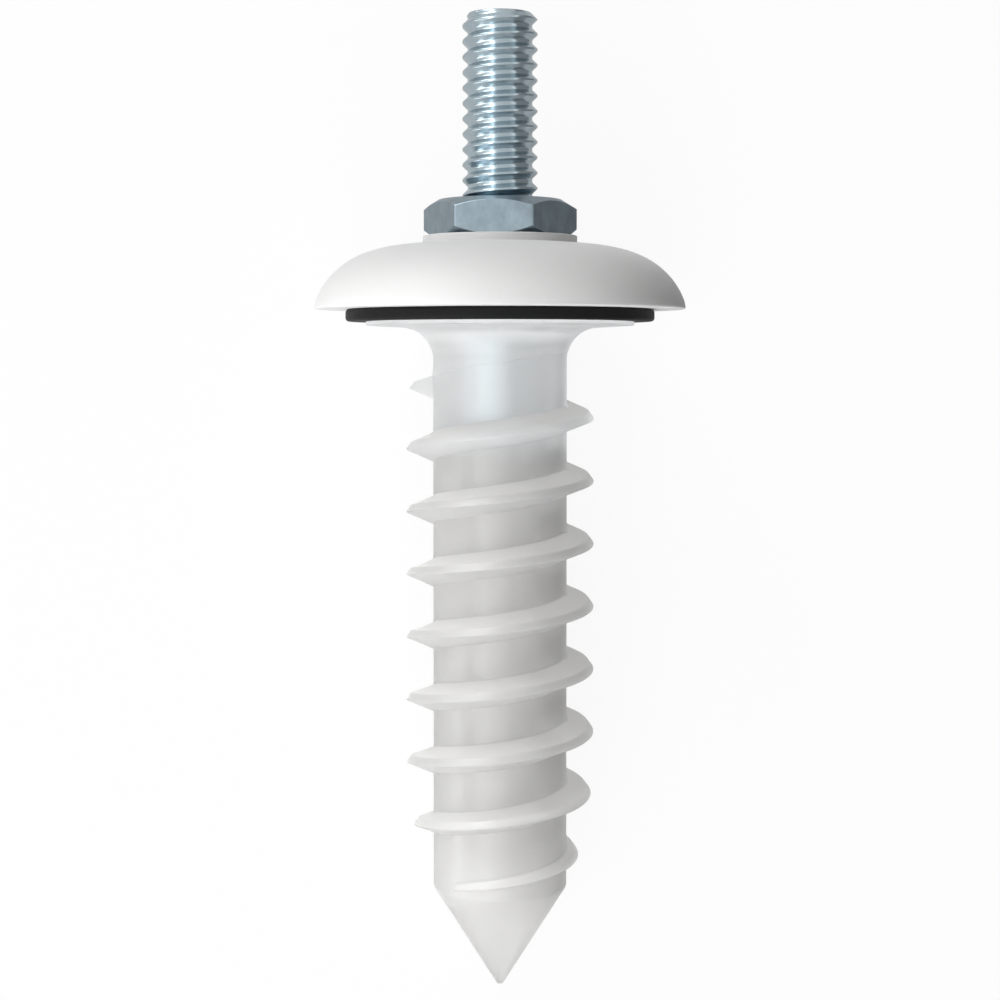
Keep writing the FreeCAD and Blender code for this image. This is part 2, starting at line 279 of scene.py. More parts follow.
def rounded(points, radii, steps):
    """The line through the points, with each inner corner replaced by an arc of its own radius."""
    outline = [points[0]]
    last = len(points) - 1
    for i, radius in enumerate(radii, 1):
        corner = points[i]
        back, forth = points[i - 1] - corner, points[i + 1] - corner
        half = back.angle(forth) / 2
        room_back = back.length * (END_LINE if i == 1 else SHARED_LINE)
        room_forth = forth.length * (END_LINE if i + 1 == last else SHARED_LINE)
        run = min(radius / math.tan(half), room_back, room_forth)
        back.normalize()
        forth.normalize()
        centre = corner + (back + forth).normalized() * run / math.cos(half)
        outline += arc(centre, corner + back * run, corner + forth * run, steps)
    return outline + [points[-1]]


def arc(centre, start, end, steps):
    """Points on the shorter arc about a centre from start to end."""
    bend = (start - centre).length
    first = math.atan2(start.y - centre.y, start.x - centre.x)
    last = math.atan2(end.y - centre.y, end.x - centre.x)
    sweep = (last - first + math.pi) % FULL_TURN - math.pi
    angles = [first + sweep * i / steps for i in range(steps + 1)]
    return [centre + at(math.cos(a), math.sin(a)) * bend for a in angles]


def smooth(x):
    """An even rise from 0 to 1 as x goes from 0 to 1."""
    x = min(max(x, 0.0), 1.0)
    return x * x * (3 - 2 * x)


def around(azimuth, radius, height):
    """A point at a radius and height, turned from the viewer's side towards the right."""
    return Vector((radius * math.sin(azimuth), -radius * math.cos(azimuth), height))


def even_angles(columns, first=0.0):
    """Angles that share out a full turn."""
    return [first + FULL_TURN * i / columns for i in range(columns)]


# Meshes

class Skin:
    """Points and faces of one piece, gathered from rows that are welded together at the end."""

    def __init__(self):
        self.points = []
        self.faces = []

    def add_rows(self, rows, closed):
        """Joins each row of points to the next by quads. A closed row ends where it starts."""
        first = len(self.points)
        width = len(rows[0])
        for row in rows:
            self.points.extend(row)
        for i in range(len(rows) - 1):
            for j in range(width if closed else width - 1):
                a, b = first + i * width + j, first + i * width + (j + 1) % width
                self.faces.append((a, b, b + width, a + width))

    def add_turned(self, outline, angles):
        """Turns an outline about the axis."""
        self.add_rows([[around(a, p.x, p.y) for a in angles] for p in outline], True)

    def finish(self, name, material, node, sharp_degrees=40.0):
        """Welds the rows into one closed mesh and puts the piece in its node's place."""
        data = bpy.data.meshes.new(name)
        data.from_pydata(self.points, [], self.faces)
        mesh = bmesh.new()
        mesh.from_mesh(data)
        bmesh.ops.remove_doubles(mesh, verts=mesh.verts, dist=MERGE_DISTANCE)
        bmesh.ops.dissolve_degenerate(mesh, edges=mesh.edges, dist=MERGE_DISTANCE)
        bmesh.ops.recalc_face_normals(mesh, faces=mesh.faces)
        bmesh.ops.transform(mesh, matrix=LYING, verts=mesh.verts)
        open_edges = [e for e in mesh.edges if len(e.link_faces) != 2]
        if open_edges:
            raise RuntimeError(name + " isn't closed: " + str(len(open_edges)) + " loose edges")
        mesh.to_mesh(data)
        mesh.free()
        data.shade_smooth()
        data.set_sharp_from_angle(angle=math.radians(sharp_degrees))
        data.materials.append(material)
        piece = bpy.data.objects.new(name, data)
        bpy.context.scene.collection.objects.link(piece)
        piece.modifiers.new("weighting", "WEIGHTED_NORMAL").keep_sharp = True
        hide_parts(node)
        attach(piece, "root")


# Materials

BLACK = (0, 0, 0, 1)
WHITE = (1, 1, 1, 1)


class Value:
    """A value in a material's node tree. Operators between values add Math nodes to the tree."""

    def __init__(self, tree, socket):
        self.tree = tree
        self.socket = socket

    def maths(self, operation, first, second):
        """Adds one Math node."""
        return self.tree.add("ShaderNodeMath", {"operation": operation}, {0: first, 1: second})

    def __add__(self, other):
        return self.maths("ADD", self, other)

    def __radd__(self, other):
        return self.maths("ADD", other, self)

    def __sub__(self, other):
        return self.maths("SUBTRACT", self, other)

    def __rsub__(self, other):
        return self.maths("SUBTRACT", other, self)

    def __mul__(self, other):
        return self.maths("MULTIPLY", self, other)

    def __rmul__(self, other):
        return self.maths("MULTIPLY", other, self)

    def __pow__(self, other):
        return self.maths("POWER", self, other)

    def __rpow__(self, other):
        return self.maths("POWER", other, self)


class Tree:
    """A material's node tree, with one method that adds any node."""

    def __init__(self, tree):
        self.tree = tree
        tree.nodes.clear()

    def add(self, kind, settings=None, sockets=None, output=0):
        """Adds a node: its settings first, then the values or links of its sockets."""
        node = self.tree.nodes.new(kind)
        for key, value in (settings or {}).items():
            if key == "stops":
                self.set_stops(node.color_ramp, value)
            else:
                setattr(node, key, value)
        for key, value in (sockets or {}).items():
            if isinstance(value, Value):
                self.tree.links.new(value.socket, node.inputs[key])
            else:
                node.inputs[key].default_value = value
        return Value(self, node.outputs[output]) if len(node.outputs) else node

    def set_stops(self, ramp, stops):
        """Gives a ramp its stops, each a place and a grey level."""
        while len(ramp.elements) < len(stops):
            ramp.elements.new(1.0)
        for element, (place, level) in zip(ramp.elements, stops):
            element.position = place
            element.color = (level, level, level, 1.0)

    def place(self):
        """The point of the surface in the anchor's own frame, where +Z runs along the anchor."""
        lying = self.add("ShaderNodeTexCoord", output="Object")
        settings = {"vector_type": "TEXTURE"}
        sockets = {"Vector": lying, "Location": LYING.to_translation(), "Rotation": LYING.to_euler()}
        return self.add("ShaderNodeMapping", settings, sockets)

    def noise(self, place, per_mm, detail, roughness, stretch=None):
        """Noise about 0.5, with so many cells a millimetre."""
        if stretch:
            sockets = {"Vector": place, "Scale": stretch}
            place = self.add("ShaderNodeMapping", {"vector_type": "POINT"}, sockets)
        sockets = {"Vector": place, "Scale": per_mm / MM, "Detail": detail, "Roughness": roughness}
        return self.add("ShaderNodeTexNoise", None, sockets, "Fac")

    def outputs(self, kind, sockets=None):
        """Adds a node and gives its outputs by name."""
        node = self.add(kind, None, sockets).socket.node
        return {output.name: Value(self, output) for output in node.outputs}

    def turn_from_viewer(self, across, ahead):
        """The angle round the anchor's axis: 0 on the viewer's side, positive on the right."""
        return across.maths("ARCTAN2", across, 0 - ahead)

    def ramp(self, value, low, high):
        """A smooth rise from 0 to 1 as the value goes from low to high."""
        sockets = {"Value": value, "From Min": low, "From Max": high}
        return self.add("ShaderNodeMapRange", {"interpolation_type": "SMOOTHSTEP"}, sockets)

    def band(self, value, rise, fall):
        """1 between two smooth slopes, each given by where it is 0 and where it is 1."""
        return self.ramp(value, *rise) * self.ramp(value, *fall)

    def mixed(self, factor, first, second):
        """A colour between two colours."""
        sockets = {"Factor": factor, 6: first, 7: second}
        return self.add("ShaderNodeMix", {"data_type": "RGBA"}, sockets, 2)

    def varied(self, value, tint, darkest, lightest):
        """A tint times a factor that goes from darkest to lightest with a value from 0 to 1."""
        return self.mixed(value, four(tint, darkest), four(tint, lightest))

    def bump(self, height, distance):
        """A bumped normal from a height of 0 to 1."""
        sockets = {"Height": height, "Distance": distance, "Strength": 1.0}
        return self.add("ShaderNodeBump", None, sockets)


def four(rgb, factor=1.0):
    """A colour as the four numbers that a socket takes."""
    return (rgb[0] * factor, rgb[1] * factor, rgb[2] * factor, 1.0)


def new_material(name):
    """A material and its empty node tree."""
    material = bpy.data.materials.new(name)
    material.use_nodes = True
    return material, Tree(material.node_tree)


def surface(name, sockets_for, settings):
    """A material with one Principled shader, whose sockets follow a piece's settings."""
    material, tree = new_material(name)
    shader = tree.add("ShaderNodeBsdfPrincipled", None, sockets_for(tree, settings))
    tree.add("ShaderNodeOutputMaterial", None, {"Surface": shader})
    return material


# Where the nylon's painted glow lies: emission colours that stand in for the light that comes out of
# the nylon, a painted glint of the stud inside, and painted light on the right-hand silhouette, the
# point's right side,
# the neck by the flange and the rib's up-facing flanks. Each pair says where a glow is 0 and where it
# is full:
# an angle from the viewer's side, a height (the lip's and the rib's count from the lip) or a distance
# outside the shank.

def azimuths(*degrees):
    """Angles from the viewer's side, given here in degrees."""
    return [math.radians(d) for d in degrees]


# Painted glint of the stud, seen through the neck
STREAK_LEFT = azimuths(-44, -16)
STREAK_RIGHT = azimuths(14, -10)
STREAK_FOOT = (-13.5 * MM, -11 * MM)
# Painted light on the point's right side and along the right-hand silhouette
LEE_LEFT = azimuths(-30, 60)
LEE_RIGHT = azimuths(179, 130)
EDGE_LEFT = azimuths(62, 82)
EDGE_RIGHT = azimuths(150, 100)
EDGE_SHARE = 0.2
EDGE_SHARE_STEEL = 0.45
EDGE_SHARE_TIP = 0.15
TIP = (-71 * MM, -77 * MM)
STEEL_FADE = 2 * MM
HOLLOW_FOOT = 1.9 * MM
HOLLOW_TOP = -1.1 * MM
LIP_OUT = (0.03 * MM, 0.12 * MM)
LIP_DOWN = (-4 * MM, -3 * MM)
LIP_SHARE = 0.05
RIB_DOWN = (-1.5 * MM, -2.5 * MM)
FLANK_ROOT = (0.05 * MM, 0.35 * MM)
FLANK_CREST = (3.1 * MM, 2.5 * MM)
FLANK_TILT = (0.0, 0.3)


def counted_from(start, pair):
    """A pair that counts from a start."""
    return [start + part for part in pair]


def nylon_glow(tree, plug, place):
    """Painted light: an emission colour laid out by place on the plug, standing in for the light that
    real nylon passes on.
    """
    across, ahead, height = tree.outputs("ShaderNodeSeparateXYZ", {"Vector": place}).values()
    radius = (across * across + ahead * ahead) ** 0.5
    azimuth = tree.turn_from_viewer(across, ahead)
    shank, lip_height = plug.shank_radius, -plug.lip_depth
    # painted glow on the neck where the stud sits inside, down to the stud's end
    steel = tree.ramp(height, STUD_FOOT - STEEL_FADE, STUD_FOOT + STEEL_FADE)
    # painted glint of the stud seen through the neck, just left of the viewer's side
    streak = tree.band(azimuth, STREAK_LEFT, STREAK_RIGHT) * tree.ramp(height, *STREAK_FOOT)
    # painted light on the neck just above its lip
    lip = tree.ramp(radius, *counted_from(shank, LIP_OUT))
    lip = lip * tree.ramp(height, *counted_from(lip_height, LIP_DOWN))
    # painted light on the neck towards the flange
    hollow = tree.ramp(height, lip_height + HOLLOW_FOOT, HOLLOW_TOP)
    # painted light on the point's right-hand side
    tip = tree.ramp(height, *TIP)
    lee = tree.band(azimuth, LEE_LEFT, LEE_RIGHT)
    # painted light along the right-hand silhouette, stronger beside the stud and at the point
    edge = tree.band(azimuth, EDGE_LEFT, EDGE_RIGHT)
    edge = edge * (EDGE_SHARE + EDGE_SHARE_STEEL * steel + EDGE_SHARE_TIP * tip)
    # painted light on the rib's up-facing upper flanks
    normal = tree.add("ShaderNodeNewGeometry", output="Normal")
    sockets = {0: normal, 1: LYING.to_3x3() @ ALONG}
    upward = tree.add("ShaderNodeVectorMath", {"operation": "DOT_PRODUCT"}, sockets, "Value")
    flank = tree.band(radius, counted_from(shank, FLANK_ROOT), counted_from(shank, FLANK_CREST))
    flank = flank * tree.ramp(upward, *FLANK_TILT)
    flank = flank * tree.ramp(height, *counted_from(lip_height, RIB_DOWN))
    layers = [
        (tip * lee, plug.tip_glow),
        (steel, plug.neck_glow),
        (streak, plug.steel_glow),
        (lip * LIP_SHARE, plug.flange_glow),
        (edge, plug.flange_glow),
        (hollow, plug.flange_glow),
        (flank, plug.rib_glow),
    ]
    glow = BLACK
    for mask, tint in layers:
        glow = tree.mixed(mask, glow, four(tint))
    return glow


def nylon(plug):
    """Milky nylon: part of it scatters the light that sinks in, part lets it through unscattered. A
    painted glow is added as emission.
    """
    material, tree = new_material("milky_nylon")
    place = tree.place()
    cloud = tree.noise(place, per_mm=0.12, detail=3.0, roughness=0.5)
    grain = tree.noise(place, per_mm=3.0, detail=3.0, roughness=0.6)
    milky_sockets = {
        "Base Color": tree.varied(cloud, plug.tint, 0.96, 1.04),
        "Roughness": 0.36 + 0.1 * grain,
        "Normal": tree.bump(grain, 0.012 * MM),
        "Subsurface Weight": 1.0,
        "Subsurface Radius": (1.0, 1.0, 1.0),
        "Subsurface Scale": plug.scatter,
        "IOR": 1.5,
        "Specular IOR Level": 0.4,
        # painted glow: emission that stands in for light through the nylon and a glint of the stud
        "Emission Color": nylon_glow(tree, plug, place),
        "Emission Strength": 1.0,
    }
    clear_sockets = {
        "Base Color": (0.95, 0.95, 0.95, 1.0),
        "Roughness": 0.25,
        "IOR": 1.5,
        "Transmission Weight": 1.0,
    }
    milky = tree.add("ShaderNodeBsdfPrincipled", None, milky_sockets)
    clear = tree.add("ShaderNodeBsdfPrincipled", None, clear_sockets)
    both = tree.add("ShaderNodeMixShader", None, {0: plug.clearness, 1: milky, 2: clear})
    tree.add("ShaderNodeOutputMaterial", None, {"Surface": both})
    return material


def cap_sockets(tree, cap):
    """White plastic with a fine spark-eroded grain."""
    speckle = tree.noise(tree.place(), per_mm=4.0, detail=2.0, roughness=0.7)
    return {
        "Base Color": tree.varied(speckle, cap.tint, 0.97, 1.03),
        "Roughness": 0.5 + 0.12 * speckle,
        "Normal": tree.bump(speckle, 0.02 * MM),
        "Specular IOR Level": 0.4,
    }


def rubber_sockets(tree, seal):
    """Black rubber with a dull, slightly uneven skin."""
    skin = tree.noise(tree.place(), per_mm=1.6, detail=4.0, roughness=0.6)
    return {
        "Base Color": tree.varied(skin, seal.tint, 0.8, 1.25),
        "Roughness": 0.48 + 0.2 * skin,
        "Normal": tree.bump(skin, 0.02 * MM),
        "Specular IOR Level": 0.13,
    }


def zinc_sockets(tree, part):
    """Zinc plate: metal with soft patches and fine streaks along the anchor."""
    place = tree.place()
    patch = tree.noise(place, per_mm=0.5, detail=5.0, roughness=0.65, stretch=(1.0, 1.0, 0.7))
    streak = tree.noise(place, per_mm=1.5, detail=2.0, roughness=0.5, stretch=(1.0, 1.0, 0.1))
    worn = patch * 0.88 + streak * 0.12
    spread = 0.03
    return {
        "Base Color": tree.varied(worn, part.tint, 1 - part.patches, 1 + part.patches),
        "Metallic": 1.0,
        "Roughness": (part.roughness - spread) + 2 * spread * patch,
        "Normal": tree.bump(streak, 0.001 * MM),
    }


# The plug

# Roundings of the rib's upper root, shoulder, crest and lower root, of the flange's two edges, and of
# the point's start and tip. The cored hole's end is nearly a half ball.
RIB_EDGES = [0.12 * MM, 0.2 * MM, 0.13 * MM, 0.2 * MM]
FLANGE_EDGES = [0.12 * MM, 0.15 * MM]
POINT_EDGES = [1.0 * MM, 0.25 * MM]
HOLE_END_SHARE = 0.95

# The rib's strip ends in the neck at a share of its hollow, and over the point by a margin
NECK_SHARE = 0.8
POINT_MARGIN = 0.4 * MM

# The relief grows from the mould's parting, where the cosine of the azimuth is 0
PARTING_START = 0.12
PARTING_RUN = 0.3

# The neck's lip: its turns, the turns over which it comes and goes, how much its rise eases off,
# how far up its flank reaches, and half the width of its edge
LIP_TURNS = 0.56
LIP_COMES = 0.1
LIP_GOES = 0.06
LIP_EASE = 0.41
LIP_FLANK = 1.8 * MM
LIP_EDGE = 0.05 * MM


class Rib:
    """The plug's skin from neck to point: the spiral rib, the gaps beside it and the neck's lip."""

    def __init__(self, plug):
        self.plug = plug
        point_length = (plug.shank_radius - plug.tip_radius) / math.tan(plug.point_angle)
        self.point_start = plug.length - point_length
        turns = (self.point_start - plug.end_margin - plug.start_depth) / plug.pitch
        self.steps = round(turns * COLUMNS)
        self.turns = self.steps / COLUMNS
        flange_run = plug.flange_radius - plug.shank_radius - plug.neck_radius
        flange_foot = plug.flange_edge + flange_run * math.tan(plug.flange_slope)
        self.neck_rise = plug.neck_radius / math.cos(plug.flange_slope)
        self.neck_centre = at(plug.shank_radius + plug.neck_radius, -flange_foot - self.neck_rise)

    def sink(self, turns):
        """How far the section has sunk into the shank."""
        past = turns - (self.turns - self.plug.run_out_turns)
        return self.plug.run_out_sink * max(past / self.plug.run_out_turns, 0.0) ** 2

    def body_radius(self, height):
        """The plug's radius without its rib, in the neck and the shank."""
        past = max(height - self.neck_centre.y, 0.0)
        bend = self.plug.neck_radius
        return self.neck_centre.x - math.sqrt(bend * bend - past * past)

    def top(self):
        """The height above the crest at which one turn's strip meets the one above."""
        return (self.plug.pitch + 2 * self.plug.crest_drop - self.plug.rib_root) / 2

    def section(self, turns, azimuth):
        """The rib from gap to gap: distances outside the shank, and heights over the crest."""
        plug = self.plug
        sink = self.sink(turns)
        moulded = smooth((abs(math.cos(azimuth)) - PARTING_START) / PARTING_RUN)
        upper_slope = (plug.shoulder_drop + plug.upper_relief * moulded) / plug.shoulder
        lower_fall = plug.rib_root - plug.crest_drop - plug.lower_relief * moulded
        lower_slope = lower_fall / plug.rib_height
        shoulder_height = plug.crest_drop - plug.shoulder_drop
        corners = [
            at(0, self.top()),
            at(0, shoulder_height + upper_slope * (plug.shoulder - sink)),
            at(plug.shoulder - sink, shoulder_height),
            at(plug.rib_height - sink, 0),
            at(0, -lower_slope * (plug.rib_height - sink)),
            at(0, self.top() - plug.pitch),
        ]
        return rounded(corners, RIB_EDGES, steps=3)

    def bare(self, turns, azimuth, count):
        """A strip with no rib. Before the rib's start it has the neck's low lip."""
        plug = self.plug
        turned = ((azimuth + math.pi) % FULL_TURN - math.pi) / FULL_TURN
        depth = plug.lip_depth - plug.lip_rise * turned + LIP_EASE * plug.lip_rise * turned * turned
        edge = plug.start_depth + plug.pitch * turns - depth
        step = plug.lip_step * smooth(-turns / LIP_GOES) * smooth((turns + LIP_TURNS) / LIP_COMES)
        if step == 0:
            edge = plug.crest_drop / 2
        over, under = edge + LIP_EDGE, edge - LIP_EDGE
        top, bottom = self.top(), self.top() - plug.pitch
        half = count // 2
        parts = [i / (half - 1) for i in range(half)]
        upper = [over + (top - over) * (1 - part) for part in parts]
        lower = [under + (bottom - under) * part for part in parts]
        strip = [at(step * smooth(1 - (z - edge) / LIP_FLANK), z) for z in upper]
        return strip + [at(0, z) for z in lower]

    def rows(self, highest, lowest):
        """Stations along the rib and past both its ends, each a row of points across one pitch."""
        plug = self.plug
        rows = []
        for step in range(-2 * COLUMNS, self.steps + 2 * COLUMNS + 1):
            turns = step / COLUMNS
            azimuth = plug.start_angle - FULL_TURN * turns
            crest = -(plug.start_depth + plug.pitch * turns)
            section = self.section(min(max(turns, 0.0), self.turns), azimuth)
            foot = [at(0, p.y) for p in section]
            if step == 0:
                strips = [foot, section]
            elif step == self.steps:
                strips = [section, foot]
            elif 0 < step < self.steps:
                strips = [section]
            else:
                strips = [self.bare(turns, azimuth, len(section))]
            for strip in strips:
                row = []
                for p in strip:
                    z = min(max(crest + p.y, lowest), highest)
                    row.append(around(azimuth, self.body_radius(z) + p.x, z))
                rows.append(row)
        return rows


class MakePlug(bpy.types.Operator):
    """Build the nylon plug with its spiral rib"""

    bl_idname = "anchor.make_plug"
    bl_label = "Spiral Plug"

    def execute(self, context):
        plug = context.scene.anchor_plug
        rib = Rib(plug)
        strip_top = rib.neck_centre.y + NECK_SHARE * plug.neck_radius
        strip_end = POINT_MARGIN - rib.point_start
        bore = STUD_R + plug.bore_play
        hole_end = plug.hole_to_tip - plug.length
        inside_and_flange = rounded(
            [
                at(0, hole_end),
                at(plug.hole_radius, hole_end),
                at(plug.hole_radius, STUD_FOOT),
                at(bore, STUD_FOOT),
                at(bore, -plug.bore_mouth),
                at(bore + plug.bore_mouth, 0),
                at(plug.flange_radius, 0),
                at(plug.flange_radius, -plug.flange_edge),
                rib.neck_centre + at(0, rib.neck_rise),
            ],
            [HOLE_END_SHARE * plug.hole_radius, 0, 0, 0, 0, *FLANGE_EDGES],
            steps=8,
        )
        slope = plug.flange_slope
        neck_start = rib.neck_centre + at(-math.sin(slope), math.cos(slope)) * plug.neck_radius
        neck_end = at(rib.body_radius(strip_top), strip_top)
        neck = arc(rib.neck_centre, neck_start, neck_end, steps=8)
        point = rounded(
            [
                at(plug.shank_radius, strip_end),
                at(plug.shank_radius, -rib.point_start),
                at(plug.tip_radius, -plug.length),
                at(0, -plug.length),
            ],
            POINT_EDGES,
            steps=6,
        )
        angles = even_angles(COLUMNS, plug.start_angle)
        skin = Skin()
        skin.add_turned(inside_and_flange[:-1] + neck, angles)
        skin.add_rows(rib.rows(strip_top, strip_end), False)
        skin.add_turned(point, angles)
        skin.finish("plug_body", nylon(plug), "spiral_plug")
        return {"FINISHED"}


# The seal

class MakeSeal(bpy.types.Operator):
    """Build the rubber seal ring"""

    bl_idname = "anchor.make_seal"
    bl_label = "Seal Ring"

    def execute(self, context):
        seal = context.scene.anchor_seal
        inner = seal.inner_radius
        outline = rounded(
            [
                at(inner, SEAL_TOP / 2),
                at(inner, 0),
                at(seal.radius, 0),
                at(seal.radius, SEAL_TOP),
                at(inner, SEAL_TOP),
                at(inner, SEAL_TOP / 2),
            ],
            [seal.inner_edge, seal.edge, seal.edge, seal.inner_edge],
            steps=8,
        )
        skin = Skin()
        skin.add_turned(outline, even_angles(COLUMNS))
        material = surface("black_rubber", rubber_sockets, seal)
        skin.finish("seal_body", material, "seal_ring")
        return {"FINISHED"}


# The cap

class MakeCap(bpy.types.Operator):
    """Build the domed cap with its boss, its hub and the pockets inside"""

    bl_idname = "anchor.make_cap"
    bl_label = "Cover Cap"

    def execute(self, context):
        cap = context.scene.anchor_cap

        def dome(radius):
            flatness = 1 - (radius / cap.radius) ** cap.spread
            return at(radius, SEAL_TOP + cap.rim_height + cap.rise * flatness ** (1 / cap.fullness))

        boss = rounded(
            [
                at(cap.hole_radius, CAP_TOP),
                at(cap.boss_radius, CAP_TOP),
                dome(cap.boss_radius),
                dome(cap.dome_start),
            ],
            [cap.boss_edge, cap.boss_foot],
            steps=6,
        )
        first = math.asin((cap.dome_start / cap.radius) ** (cap.spread / 2))
        curve = []
        curve_steps = 48
        for i in range(1, curve_steps):
            a = first + (math.pi / 2 - first) * i / curve_steps
            curve.append(dome(cap.radius * math.sin(a) ** (2 / cap.spread)))
        rim = rounded(
            [
                at(cap.radius, SEAL_TOP + cap.rim_height),
                at(cap.radius, SEAL_TOP),
                at(SEAL_R, SEAL_TOP),
            ],
            [cap.rim_edge],
            steps=6,
        )
        outside = boss + curve + rim
        wide, narrow = cap.pocket_radius, cap.hub_radius
        wall = at(0, cap.wall)
        pocket_mouth = [at(wide, SEAL_TOP), at(narrow, SEAL_TOP)]
        closed = [pocket_mouth[0], *pocket_mouth, pocket_mouth[1]]
        cored = [pocket_mouth[0], dome(wide) - wall, dome(narrow) - wall, pocket_mouth[1]]
        hub = [at(narrow, 0), at(cap.hole_radius, 0), at(cap.hole_radius, CAP_TOP)]
        pockets = 6
        pocket_steps = 38
        pocket_turn = FULL_TURN / pockets - 2 * cap.web
        rows = []
        for middle in even_angles(pockets):
            for a in (middle - cap.web, middle, middle + cap.web):
                rows.append([around(a, p.x, p.y) for p in outside + closed + hub])
            for k in range(pocket_steps + 1):
                a = middle + cap.web + pocket_turn * k / pocket_steps
                rows.append([around(a, p.x, p.y) for p in outside + cored + hub])
        skin = Skin()
        skin.add_rows(rows + rows[:1], False)
        material = surface("matt_cap", cap_sockets, cap)
        skin.finish("cap_body", material, "cover_cap")
        return {"FINISHED"}


# The nut

def hexagon(corner_radius, edge, first_angle):
    """A hexagon with rounded corners, as angles and radii about its middle."""
    sides = 6
    line_steps = 6
    directions = [around(a, corner_radius, 0) for a in even_angles(sides, first_angle)]
    corners = [at(d.x, d.y) for d in directions]
    outline = []
    for i, corner in enumerate(corners):
        start, end = (corners[i - 1] + corner) / 2, (corner + corners[(i + 1) % sides]) / 2
        bend = rounded([start, corner, end], [edge], steps=4)[1:-1]
        outline += [start.lerp(bend[0], k / line_steps) for k in range(1, line_steps)]
        outline += bend
        outline += [bend[-1].lerp(end, k / line_steps) for k in range(1, line_steps + 1)]
    return [(math.atan2(p.x, -p.y), p.length) for p in outline]


class MakeNut(bpy.types.Operator):
    """Build the hex nut with its chamfers"""

    bl_idname = "anchor.make_nut"
    bl_label = "Hex Nut"

    def execute(self, context):
        nut = context.scene.anchor_nut
        half_side = math.radians(30)
        corner_radius = nut.across_flats / 2 / math.cos(half_side)
        hole = STUD_R - nut.thread_bite
        middle = (NUT_BASE + NUT_TOP) / 2
        roundings = [nut.hole_edge, nut.sink_edge, nut.edge, nut.edge]
        rows = []
        for a, radius in hexagon(corner_radius, nut.corner_edge, half_side - nut.turn):
            top_share = max(radius - nut.top_land, 0) / (corner_radius - nut.top_land)
            base_share = max(radius - nut.base_land, 0) / (corner_radius - nut.base_land)
            outline = rounded(
                [
                    at(hole, middle),
                    at(hole, NUT_TOP - nut.countersink),
                    at(hole + nut.countersink, NUT_TOP),
                    at(min(nut.top_land, radius - nut.edge), NUT_TOP),
                    at(radius, NUT_TOP - nut.top_chamfer * top_share),
                    at(radius, NUT_BASE + nut.base_chamfer * base_share),
                    at(min(nut.base_land, radius - nut.edge), NUT_BASE),
                    at(hole + nut.countersink, NUT_BASE),
                    at(hole, NUT_BASE + nut.countersink),
                    at(hole, middle),
                ],
                roundings + roundings[::-1],
                steps=3,
            )
            rows.append([around(a, p.x, p.y) for p in outline])
        skin = Skin()
        skin.add_rows(rows + rows[:1], False)
        material = surface("nut_zinc_plate", zinc_sockets, nut)
        skin.finish("nut_body", material, "hex_nut")
        return {"FINISHED"}


# The stud

class MakeStud(bpy.types.Operator):
    """Build the stud with its thread"""

    bl_idname = "anchor.make_stud"
    bl_label = "Threaded Stud"

    def execute(self, context):
        stud = context.scene.anchor_stud
        columns = COLUMNS // 2
        root_r = STUD_R - stud.depth
        crest_r = STUD_R - stud.worn
        end_r = STUD_R - stud.chamfer
        face_ring_r = 0.9 * end_r
        section = rounded(
            [
                at(root_r, stud.pitch / 2),
                at(root_r, stud.pitch / 2 - stud.root / 2),
                at(crest_r, stud.crest / 2),
                at(crest_r, -stud.crest / 2),
                at(root_r, stud.root / 2 - stud.pitch / 2),
                at(root_r, -stud.pitch / 2),
            ],
            [stud.root_edge, stud.crest_edge, stud.crest_edge, stud.root_edge],
            steps=3,
        )
        left = math.radians(-90)
        first = math.ceil((STUD_TOP - stud.first_crest) / stud.pitch + 1) * columns
        last = math.ceil((stud.first_crest - STUD_FOOT) / stud.pitch + 1) * columns
        rows = []
        for step in range(-first, last + 1):
            turns = step / columns
            crest = stud.first_crest - stud.pitch * turns
            row = []
            for p in section:
                z = min(max(crest + p.y, STUD_FOOT), STUD_TOP)
                widest = end_r + min(STUD_TOP - z, z - STUD_FOOT)
                row.append(around(left - FULL_TURN * turns, min(p.x, widest), z))
            rows.append(row)
        angles = even_angles(columns, left)
        skin = Skin()
        skin.add_rows(rows, False)
        skin.add_turned([at(r, STUD_TOP) for r in (end_r, face_ring_r, 0)], angles)
        skin.add_turned([at(end_r, STUD_FOOT), at(0, STUD_FOOT)], angles)
        material = surface("stud_zinc_plate", zinc_sockets, stud)
        skin.finish("stud_body", material, "threaded_stud", sharp_degrees=50.0)
        return {"FINISHED"}


# The stage

# Each lamp's name, azimuth from the viewer and elevation towards the stud in degrees, width and height
# in metres, power in watts, and whether the anchor mirrors it
LAMPS = [
    ("key_low", -80, -32, 0.30, 0.50, 1.7, True),
    ("key_high", -55, 55, 0.30, 0.30, 1.6, True),
    ("front_left", -30, -24, 0.30, 0.65, 1.6, False),
    ("front_low", -5, -28, 0.30, 0.65, 2.2, False),
    ("top", -10, 75, 0.30, 0.30, 0.5, False),
]

# What the metal mirrors, from the far left at 0 to the far right at 1: places and grey levels
STUDIO = [
    (0.06, 0.19),
    (0.14, 0.30),
    (0.235, 0.34),
    (0.25, 1.00),
    (0.295, 1.00),
    (0.315, 0.30),
    (0.41, 0.20),
    (0.61, 0.18),
    (0.80, 0.17),
    (0.88, 0.30),
    (0.97, 0.14),
]


def facing(direction, up):
    """A turn that points an object's -Z along a direction, with its +Y towards up."""
    back = -direction.normalized()
    right = up.cross(back).normalized()
    return Matrix((right, back.cross(right), back)).transposed()


def add_facing(name, data, place, direction):
    """Adds an object at a place in the anchor's own frame, turned to face along a direction."""
    item = bpy.data.objects.new(name, data)
    bpy.context.scene.collection.objects.link(item)
    turned = facing(direction, ALONG).to_4x4()
    turned.translation = place
    item.matrix_world = LYING @ turned
    return item


